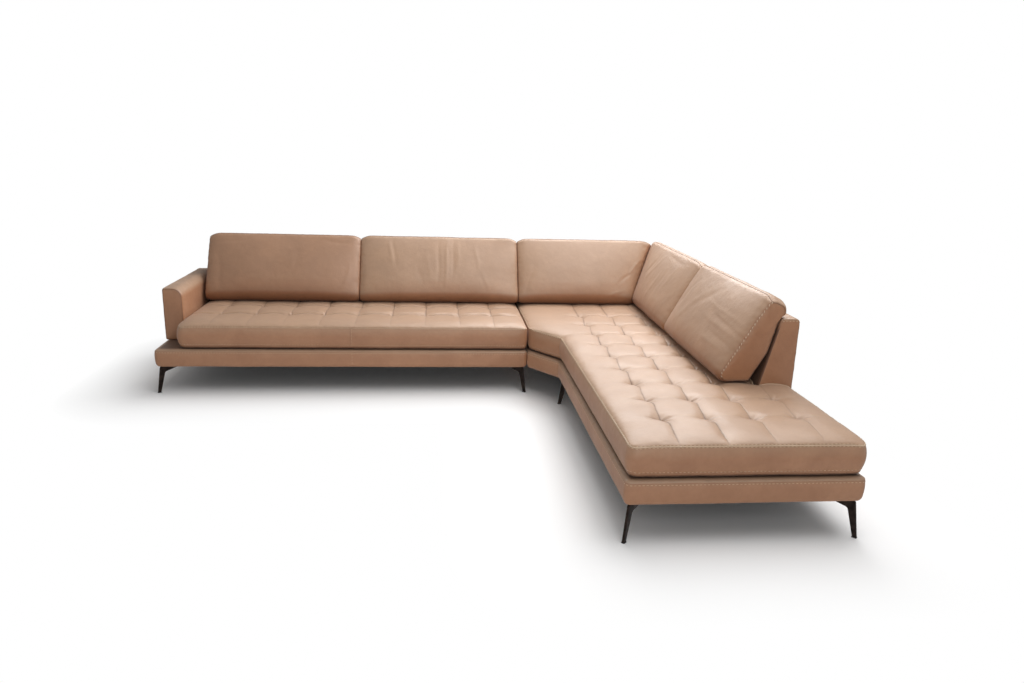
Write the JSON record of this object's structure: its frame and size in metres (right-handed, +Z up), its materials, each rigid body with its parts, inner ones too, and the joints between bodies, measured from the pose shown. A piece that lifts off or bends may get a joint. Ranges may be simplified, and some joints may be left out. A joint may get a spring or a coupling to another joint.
{
  "type": "corner sofa",
  "caption": "Low leather corner sofa with an open chaise end, a single slim arm, loose leaning back cushions, a tufted seat on a padded platform and slanted blade legs.",
  "frame": {"origin": "on the floor, under the middle of the whole sofa's outer box", "axes": "+X to the right along the wing as seen from the seat's open side, +Y to the back behind the wing, +Z up"},
  "size_m": [3.396, 2.86, 0.8653],
  "materials": {
    "leather": "semi-aniline tan leather, soft satin",
    "leg_metal": "dark bronze powder coat, satin",
    "glide": "moulded, matt",
    "timber": "sawn softwood and ply, unfinished",
    "foam": "open-cell upholstery foam",
    "webbing": "elastic webbing, woven",
    "lining": "non-woven dust cover, matt",
    "steel": "zinc plated"
  },
  "bodies": {
    "root": {"arm_board": "timber", "arm_cover": "leather", "back_cushion_corner": "leather", "back_cushion_inner": "leather", "back_cushion_outer": "leather", "back_cushion_side_inner": "leather", "back_cushion_side_outer": "leather", "chaise_deck_foam": "foam", "chaise_dust_cover": "lining", "chaise_leg_corner": "leg_metal", "chaise_leg_corner_bolt": "steel", "chaise_leg_corner_glide": "glide", "chaise_leg_front_inner": "leg_metal", "chaise_leg_front_inner_bolt": "steel", "chaise_leg_front_inner_glide": "glide", "chaise_leg_front_outer": "leg_metal", "chaise_leg_front_outer_bolt": "steel", "chaise_leg_front_outer_glide": "glide", "chaise_leg_rear_inner": "leg_metal", "chaise_leg_rear_inner_bolt": "steel", "chaise_leg_rear_inner_glide": "glide", "chaise_leg_rear_outer": "leg_metal", "chaise_leg_rear_outer_bolt": "steel", "chaise_leg_rear_outer_glide": "glide", "chaise_platform_wrap": "leather", "chaise_seat_cushion": "leather", "chaise_seat_webbing": "webbing", "chaise_timber_frame": "timber", "corner_back_board": "timber", "corner_back_cover": "leather", "joining_plate_front": "steel", "joining_plate_front_chaise_bolt": "steel", "joining_plate_front_wing_bolt": "steel", "joining_plate_rear": "steel", "joining_plate_rear_chaise_bolt": "steel", "joining_plate_rear_wing_bolt": "steel", "side_back_board": "timber", "side_back_cover": "leather", "wing_back_board": "timber", "wing_back_cover": "leather", "wing_deck_foam": "foam", "wing_dust_cover": "lining", "wing_leg_front_inner": "leg_metal", "wing_leg_front_inner_bolt": "steel", "wing_leg_front_inner_glide": "glide", "wing_leg_front_outer": "leg_metal", "wing_leg_front_outer_bolt": "steel", "wing_leg_front_outer_glide": "glide", "wing_leg_rear_inner": "leg_metal", "wing_leg_rear_inner_bolt": "steel", "wing_leg_rear_inner_glide": "glide", "wing_leg_rear_outer": "leg_metal", "wing_leg_rear_outer_bolt": "steel", "wing_leg_rear_outer_glide": "glide", "wing_platform_wrap": "leather", "wing_seat_cushion": "leather", "wing_seat_webbing": "webbing", "wing_timber_frame": "timber"}
  },
  "joints": []
}
